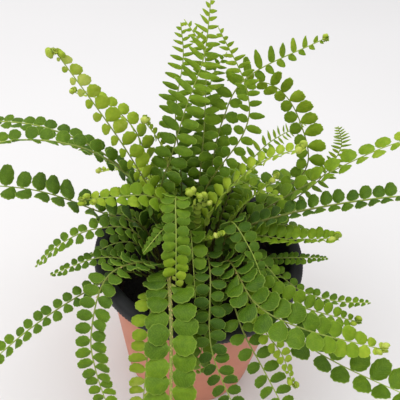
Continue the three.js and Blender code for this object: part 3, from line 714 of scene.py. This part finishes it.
# A turn about the seat's third axis, and a size
def turned(turn, size):
    return Matrix.Rotation(turn, 4, "Z") @ Matrix.Diagonal((size, size, size, 1))


# Places held by a frond, in a grid of cells
held = {}


def cellOf(point):
    return tuple(int(value // growth["clear"]) for value in point)


def hold(point, owner):
    held.setdefault(cellOf(point), []).append((point, owner))


def isFree(point, owner):
    x, y, z = cellOf(point)
    for dx in (-1, 0, 1):
        for dy in (-1, 0, 1):
            for dz in (-1, 0, 1):
                for other, name in held.get((x + dx, y + dy, z + dz), ()):
                    if name != owner and (other - point).length < growth["clear"]:
                        return False
    return True


# The stalk is stoutest at its foot and slender where the leaflets are
def ribRadius(rib, place):
    foot, middle, tip = growth["radii"]
    bend = growth["middle"]
    share = place / rib["length"]
    if share < bend:
        return rib["stout"] * (foot + (middle - foot) * max(0, share) / bend)
    return rib["stout"] * (middle + (tip - middle) * (min(1, share) - bend) / (1 - bend))


# The rib as a round stalk, greener towards its tip
def addRib(bm, rib):
    count = int(rib["length"] / growth["ribStep"])
    even = [rib["length"] * index / count for index in range(count + 1)]
    curled = [place for place in rib["places"] if place > rib["straight"]]
    tone = bm.verts.layers.float["tone"]
    ring, edges = [], []
    for place in sorted({*even, *curled}):
        here = frameAt(rib, place)
        radius = ribRadius(rib, place)
        target = (seatAt(here["point"], here["side"], here["face"], here["ahead"])
                  @ Matrix.Diagonal((radius, radius, 1, 1)))
        if not ring:
            ring = bmesh.ops.create_circle(bm, cap_ends=True, segments=growth["ribSides"],
                                           radius=1, matrix=target)["verts"]
            edges = list({edge for vert in ring for edge in vert.link_edges})
        else:
            grown = bmesh.ops.extrude_edge_only(bm, edges=edges)["geom"]
            ring = [part for part in grown if isinstance(part, bmesh.types.BMVert)]
            edges = [part for part in grown if isinstance(part, bmesh.types.BMEdge)]
            bmesh.ops.transform(bm, matrix=target @ last.inverted(), verts=ring)
        last = target
        for vert in ring:
            vert[tone] = min(1, growth["ribTone"] + place / rib["length"])
    bmesh.ops.contextual_create(bm, geom=edges)
    for face in bm.faces:
        face.material_index = 2
    smoothFaces(bm)
    bmesh.ops.recalc_face_normals(bm, faces=bm.faces)


# Length of the leaflets along the leafy part, as a share of the longest
def leafletShare(frond, share):
    upright = "facing" in frond
    narrow = upright or frond["age"] == "young"
    shoulder = frond.get("shoulder", growth["shoulder"]["narrow" if narrow else "broad"])
    past = max(0, share - shoulder) / (1 - shoulder)
    low, slope = growth["rise"]["upright" if upright else "spread"]
    rise = max(low + slope * share, frond.get("full", 0))
    grown = min(1, rise) * (1 - (1 - frond.get("tip", growth["tip"])) * past ** growth["fall"])
    last = growth["last"]
    return grown * (1 - last["by"] * max(0, share - last["from"]) / last["over"])


# Millimetres from one leaflet to the next
def leafletPitch(frond, share, usual):
    if "facing" in frond:
        tight = growth["tight"]
        close = min(1, max(0, share - tight["from"]) / tight["over"])
        return frond["leaf"] * usual * (1 - frond.get("tight", tight["by"]) * close)
    crowded = leafletShare(frond, max(growth["crowdedFrom"], share))
    crowded *= 1 - growth["crowding"] * share ** 3
    crowded += (1 - crowded) * frond.get("even", growth["even"])
    packed = frond.get("packed", 0) * max(0, 1 - share / growth["packedUntil"])
    return frond["leaf"] * usual * crowded * (1 - packed)


# Places on a leaflet one long and one wide that need room
bladeSpots = [Vector((x, y, 0)) for x, y in
              ((0, 0.35), (-0.42, 0.5), (0, 0.65), (0.42, 0.5), (-0.3, 0.85), (0.3, 0.85), (0, 1))]


# A leaflet keeps its size where it can, else folds up or down, else is smaller, else is left off
def roomFor(seat, yaw, roll, fold, width, size, owner):
    for scale in growth["shrunk"]:
        for extra in growth["bent"]:
            matrix = (seat @ Matrix.Rotation(math.radians(fold + extra), 4, "X")
                      @ Matrix.Rotation(yaw, 4, "Z") @ Matrix.Rotation(roll, 4, "Y")
                      @ Matrix.Diagonal((width * scale, size * scale, size * scale, 1)))
            spots = [matrix @ spot for spot in bladeSpots]
            if all(isFree(spot, owner) for spot in spots):
                for spot in spots:
                    hold(spot, owner)
                return matrix
    return None


def addLeaflets(bm, frond, rib, draw):
    age, leaf = frond["age"], frond["leaf"]
    start = rib["start"] + (rib["straight"] - rib["start"]) * growth["bare"][age]
    leafy = rib["straight"] - start
    slender = frond.get("slender", 1)
    brighten = frond.get("brighten", growth["brighten"][age])
    brightenFrom = frond.get("brightenFrom", growth["brightenFrom"])
    usual = frond.get("pitch", growth["pitch"] * leaf) / leaf
    wide = frond.get("wide", growth["wide"])
    # the frond's tone from its age, moved by shade, which is partly own colour and partly painted
    # light and shade
    base = growth["tone"][age] + frond.get("shade", 0)
    upright = "facing" in frond
    narrowest = growth["narrowest"]["upright" if upright else "spread"]
    aside, up = growth["seat"]
    olderAndShaded = growth["olderAndShaded"]
    for hand, row in zip((-1, 1), frond.get("rows", (1, 1))):
        place = start + frond.get("shift", 0) * usual * leaf
        first = True
        while place < rib["length"] - growth["endMargin"]:
            share = (place - start) / leafy
            coiled = place > rib["straight"]
            if coiled:
                size, pitch = growth["coilLeaf"], growth["coilLeaf"] * growth["coilPitch"]
            else:
                size = row * leaf * leafletShare(frond, share)
                pitch = leafletPitch(frond, share, usual)
            size = max(growth["least"], size * (1 + draw.uniform(-1, 1) * growth["sizePlay"]))
            slim = 0
            if slender < 1:
                slim = min(1, max(0, share - slender) / (1 - slender)) ** growth["slimming"]
            # the two rows alternate
            if first and hand > 0:
                place += pitch / 2
            first = False
            level = round(slim * (leaflet["levels"] - 1))
            detail = "fine" if size > leaflet["fineFrom"] else "small"
            template = leafletMeshes[level, draw.randrange(leaflet["kinds"]), hand, detail]
            here = frameAt(rib, place)
            near = max(0, 1 - share / olderAndShaded["until"])
            play = 1 + growth["loose"] * near
            lean = growth["lean"] + (growth["tipLean"] - growth["lean"]) * min(1, share) ** 2
            yaw = math.radians(lean + draw.uniform(-1, 1) * play * growth["yawPlay"]) * hand
            roll = growth["uprightRoll" if upright else "roll"]
            roll = math.radians(roll + draw.uniform(-1, 1) * play * growth["rollPlay"]) * hand
            fold = growth["coilFold"] if coiled else frond["fold"]
            fold += draw.uniform(-1, 1) * play * growth["foldPlay"]
            late = max(0, share - brightenFrom) / (1 - brightenFrom)
            # the tone is paler towards the tip for younger leaflets, and darker near the crown,
            # partly for age and partly as painted shade
            tone = base - olderAndShaded["by"] * near + brighten * late ** growth["brightenCurve"]
            tone += draw.uniform(-growth["tonePlay"], growth["tonePlay"])
            width = min(max(pitch * wide, narrowest * size), growth["broadest"] * size)
            width = size if coiled else width * (1 - growth["slimWidth"] * slim)
            radius = ribRadius(rib, place)
            foot = (here["point"] + here["side"] * (hand * radius * aside)
                    + here["face"] * (radius * up))
            seat = seatAt(foot, here["ahead"] * -hand, here["side"] * hand, here["face"])
            matrix = roomFor(seat, yaw, roll, fold, width, size, frond["name"])
            if matrix:
                addCopy(bm, template, matrix, tone)
            place += pitch


# Leaflets at the tip that are still rolled up, on alternate sides
def addBuds(bm, frond, rib, draw):
    for number in range(frond.get("buds", buds["count"] if isCurled(frond) else 0)):
        here = frameAt(rib, rib["straight"] + buds["beyond"] - number * buds["step"])
        hand = 1 if number % 2 else -1
        grown = min(1, frond["leaf"] / growth["fullCurl"]) * frond.get("plump", 1)
        size = buds["size"] * (grown - buds["smaller"] * number) * draw.uniform(*buds["sizePlay"])
        centre = (here["point"] + here["side"] * (hand * buds["aside"] * size)
                  + here["face"] * (buds["lift"] * size))
        tone = min(1, growth["tone"]["young"] + buds["tone"] + draw.uniform(*buds["tonePlay"]))
        seat = seatAt(centre, here["side"], here["ahead"], here["face"])
        addCopy(bm, bud, seat @ turned(draw.uniform(-buds["turn"], buds["turn"]), size), tone)


def addScales(bm, rib, draw, scaly):
    thick = scaly > 1
    span = (1 if thick else scales["reach"]) * rib["straight"]
    for _ in range(int(span * scales["each"] * scaly)):
        place = scales["first"] + span * draw.random() ** (1 if thick else scales["thinning"])
        here = frameAt(rib, place)
        radius = ribRadius(rib, place) * scales["sunk"]
        # on a scaly stalk they lie in two lines along its upper side
        turn = draw.uniform(0, math.tau)
        if thick:
            turn = math.pi / 2 + draw.choice((-1, 1)) * draw.uniform(*scales["lines"])
        outward = here["side"] * math.cos(turn) + here["face"] * math.sin(turn)
        size = draw.uniform(*scales["size"]) * (scales["smaller"] if thick else 1)
        seat = seatAt(here["point"] + outward * radius, here["ahead"].cross(outward),
                      here["ahead"], outward)
        addCopy(bm, flake, seat @ turned(draw.uniform(-scales["turn"], scales["turn"]), size))


ribs = {frond["name"]: growRib(frond) for frond in fronds}
for name, rib in ribs.items():
    for index in range(int(rib["length"] / growth["holdStep"]) + 1):
        place = min(index * growth["holdStep"], rib["length"])
        hold(frameAt(rib, place)["point"], name)

for number, frond in enumerate(fronds):
    draw = random.Random(100 + number)
    bm = bmesh.new()
    addLayers(bm)
    rib = ribs[frond["name"]]
    addRib(bm, rib)
    addLeaflets(bm, frond, rib, draw)
    addBuds(bm, frond, rib, draw)
    addScales(bm, rib, draw, frond.get("scaly", 1))
    finishPiece("fernFrond_" + frond["name"], bm, frondMaterials,
                "frond_" + frond["name"])
print("fronds:", len(fronds))


# A line of radii and heights, turned about the upright axis
def turnLine(points, steps):
    bm = bmesh.new()
    line = [bm.verts.new((radius, 0, height)) for radius, height in points]
    edges = [bm.edges.new(pair) for pair in zip(line, line[1:])]
    bmesh.ops.spin(bm, geom=line + edges, axis=(0, 0, 1), angle=math.tau, steps=steps,
                   use_merge=True)
    bmesh.ops.remove_doubles(bm, verts=bm.verts, dist=0.001)
    bmesh.ops.recalc_face_normals(bm, faces=bm.faces)
    return bm


pot = {
    "steps": 360,
    "sheet": 1.5,
    "floorTop": 1,
    "holes": 8,
    "holeInner": 30.5,
    "holeOuter": 37.5,
    "holeHalf": 6,  # degrees
    "collarFrom": 58.3,
    "ribDepth": 0.14,
    # the line of the sheet's terracotta face, from the axis up the wall and over the rim to the
    # lower edge of the collar, whose charcoal outer face lies a sheet further out
    "line": [(0, 0), (16, 0), (30.5, 0), (37.5, 0), (41, 0), (43, 0.4), (43.8, 1.1), (44.1, 2.2),
             (45.2, 13), (47.2, 32), (49.2, 52), (51.2, 72), (53, 90), (53.7, 98), (54, 101.4),
             (54.4, 102.1), (55.2, 102.4), (57.4, 102.4), (58.2, 102.1), (58.5, 101.3),
             (58.5, 99.2), (58.4, 97.1)],
}


# Thermoformed polypropylene: a satin skin with a fine grain, and clouds of a size and detail
def potMaterial(name, settings, stops, cloud):
    material, tree, shader = newMaterial(name, {"IOR": 1.49, **settings})
    paint(tree, shader, stops, grain(tree, *cloud))
    addBump(tree, shader, grain(tree, 0.5), strength=0.25, depth=0.05)
    return material


def buildPot():
    bm = turnLine(pot["line"], pot["steps"])
    # the faces look out from the wall: the sheet thickens inwards there, outwards on the collar
    bmesh.ops.reverse_faces(bm, faces=bm.faces)
    # drain holes through the floor
    drains = []
    sector = 360 / pot["holes"]
    for face in bm.faces:
        centre = face.calc_center_median()
        reach = math.hypot(centre.x, centre.y)
        turn = math.degrees(math.atan2(centre.y, centre.x)) % sector
        nearHole = abs(turn - sector / 2) < pot["holeHalf"]
        if centre.z < pot["floorTop"] and pot["holeInner"] < reach < pot["holeOuter"] and nearHole:
            drains.append(face)
    bmesh.ops.delete(bm, geom=drains, context="FACES")
    # fine upright ribs on the collar
    for vert in bm.verts:
        reach = math.hypot(vert.co.x, vert.co.y)
        if reach > pot["collarFrom"]:
            step = round(math.degrees(math.atan2(vert.co.y, vert.co.x)) * pot["steps"] / 360)
            vert.co.xy *= 1 + (pot["ribDepth"] if step % 2 else -pot["ribDepth"]) / reach
    smoothFaces(bm)
    # terracotta outside, with a soft sheen, and charcoal inside, duller and nearly black
    skins = [potMaterial("terracottaPolypropylene", {"Roughness": 0.5},
                         [(0, "#bc6e54"), (1, "#d08567")], (18,)),
             potMaterial("charcoalPolypropylene", {"Roughness": 0.6, "Specular IOR Level": 0.25},
                         [(0, "#131314"), (1, "#28282a")], (6, 5))]
    piece = finishPiece("nurseryPot", bm, skins, "pot")
    wall = piece.modifiers.new("sheet", "SOLIDIFY")
    wall.thickness = pot["sheet"] * mm
    wall.offset = -1
    wall.use_even_offset = True
    wall.material_offset = 1
    wall.material_offset_rim = 1


buildPot()
print("pot done")

# The waves of its upper face are given as size, height and fractal settings
soil = {
    "steps": 132,
    "rings": 34,
    "radius": 50.2,
    "outline": [(0, 3.0), (39.6, 3.0), (41.6, 4.6), (46, 45), (50.2, 85.5)],
    "top": 0.5,  # how far under soilTop a point still counts as the upper face
    "sunk": 0.6,
    "broad": (14, 1.3, (1, 2, 3)),
    "fine": (2.6, 0.7, (0.8, 2, 4)),
    "fineShift": (9, 4, 2),
}


# Potting mix: peat and bark, matt, damp and nearly black, with browner crumbs
def soilMaterial(name, dark, light, size):
    material, tree, shader = newMaterial(name, {"Roughness": 0.92, "IOR": 1.35})
    paint(tree, shader, [(0, dark), (0.6, dark), (1, light)], grain(tree, size, 5, 0.65))
    addBump(tree, shader, grain(tree, size * 0.6, 6, 0.7), strength=0.8, depth=0.4)
    return material


def soilHeight(x, y):
    place = Vector((x, y, 0))
    broad, broadHeight, broadKind = soil["broad"]
    fine, fineHeight, fineKind = soil["fine"]
    swell = noise.fractal(place / broad, *broadKind)
    lump = noise.fractal(place / fine + Vector(soil["fineShift"]), *fineKind)
    return soilTop - soil["sunk"] + broadHeight * swell + fineHeight * lump


def buildSoil():
    count = soil["rings"]
    rings = [(soil["radius"] * (1 - index / count), soilTop) for index in range(count)]
    bm = turnLine(soil["outline"] + rings + [(0, soilTop)], soil["steps"])
    for vert in bm.verts:
        if vert.co.z > soilTop - soil["top"]:
            vert.co.z = soilHeight(vert.co.x, vert.co.y)
    smoothFaces(bm)
    look = soilMaterial("pottingMix", "#100c08", "#36271c", 1.6)
    finishPiece("soilBody", bm, [look], "soil")


# A crumb's size is the least and how much more it may be, its form its breadth and height as
# shares of its length
crumbs = {
    "count": 1500,
    "chips": 150,
    "kinds": 4,
    "lumpy": (0.7, 1.25),
    "margin": 1.5,
    "size": (0.7, 2.0),
    "form": ((0.7, 1), 0.8),
    "chipSize": (2.2, 4.6),
    "chipForm": ((0.35, 0.6), 0.25),
    "tilt": 0.5,  # radians
    "lift": 0.12,
    "barkEvery": 5,
}


# Crumbs of peat and flat chips of bark that lie half sunk in the soil
def buildCrumbs():
    draw = random.Random(7)
    kinds = []
    for _ in range(crumbs["kinds"]):
        lump = bmesh.new()
        bmesh.ops.create_icosphere(lump, subdivisions=1, radius=0.5)
        for vert in lump.verts:
            vert.co *= draw.uniform(*crumbs["lumpy"])
        kinds.append(asMesh(lump, "crumb"))
    bm = bmesh.new()
    least, more = crumbs["size"]
    for number in range(crumbs["count"] + crumbs["chips"]):
        reach = (soil["radius"] - crumbs["margin"]) * math.sqrt(draw.random())
        turn = draw.uniform(0, math.tau)
        x, y = reach * math.cos(turn), reach * math.sin(turn)
        chip = number >= crumbs["count"]
        size = draw.uniform(*crumbs["chipSize"]) if chip else least + more * draw.random() ** 3
        breadth, height = crumbs["chipForm" if chip else "form"]
        flat = (size, size * draw.uniform(*breadth), size * height, 1)
        matrix = (Matrix.Translation((x, y, soilHeight(x, y) + crumbs["lift"] * size))
                  @ (Matrix.Rotation(draw.uniform(0, math.tau), 4, "Z")
                     @ Matrix.Rotation(draw.uniform(-crumbs["tilt"], crumbs["tilt"]), 4, "X"))
                  @ Matrix.Diagonal(flat))
        bark = chip or number % crumbs["barkEvery"] == 0
        addCopy(bm, kinds[number % crumbs["kinds"]], matrix, look=int(bark))
    looks = [soilMaterial("peatCrumb", "#15100b", "#3d2d20", 1.2),
             soilMaterial("barkCrumb", "#271b12", "#684731", 1.5)]
    finishPiece("soilCrumbs", bm, looks, None)


buildSoil()
buildCrumbs()
print("soil done")

# A lamp is its place, its aim and its side in metres, and its power in watts
studio = {
    "cameraPlace": (-2.6, -183.6, 298.3),
    "cameraPitch": 41.0,  # degrees below the horizon
    "cameraRoll": 5.6,
    "lens": 41.4,
    "sensor": 36,
    "clip": 0.01,
    "floor": 2500,
    "world": "#f2f3f6",
    "worldStrength": 0.76,
    "lamps": {
        "softboxLeft": ((-1.1, -0.6, 1.5), (0, 0, 0.1), 1.2, 12),
        "softboxTop": ((0.1, 0.1, 1.8), (0, 0, 0), 1.8, 18),
    },
}


# Studio board: painted white, matt
def floorMaterial():
    material, tree, shader = newMaterial("studioBoard", {"Roughness": 0.85, "IOR": 1.45})
    paint(tree, shader, [(0, "#dddbda"), (1, "#e2e0df")], grain(tree, 300, 1))
    return material


def buildStudio():
    bm = bmesh.new()
    bmesh.ops.create_grid(bm, x_segments=4, y_segments=4, size=studio["floor"])
    floor = makeObject("studioFloor", bm, [floorMaterial()])
    for name, (place, target, size, power) in studio["lamps"].items():
        lamp = bpy.data.lights.new(name, "AREA")
        lamp.shape = "SQUARE"
        lamp.size = size
        lamp.energy = power
        item = addObject(name, lamp)
        item.location = place
        aim = Vector(target) - Vector(place)
        item.rotation_euler = aim.to_track_quat("-Z", "Y").to_euler()
    world = bpy.data.worlds.new("studio")
    world.use_nodes = True
    background = world.node_tree.nodes["Background"]
    background.inputs["Color"].default_value = linear(studio["world"])
    background.inputs["Strength"].default_value = studio["worldStrength"]
    bpy.context.scene.world = world
    lens = bpy.data.cameras.new("photoCamera")
    lens.lens = studio["lens"]
    lens.sensor_width = studio["sensor"]
    lens.clip_start = studio["clip"]
    camera = addObject("photoCamera", lens)
    camera.matrix_world = (Matrix.Translation(Vector(studio["cameraPlace"]) * mm)
                           @ Matrix.Rotation(math.radians(90 - studio["cameraPitch"]), 4, "X")
                           @ Matrix.Rotation(math.radians(studio["cameraRoll"]), 4, "Z"))
    bpy.context.scene.camera = camera
    bpy.context.scene.view_settings.view_transform = "Standard"


buildStudio()
print("studio done")
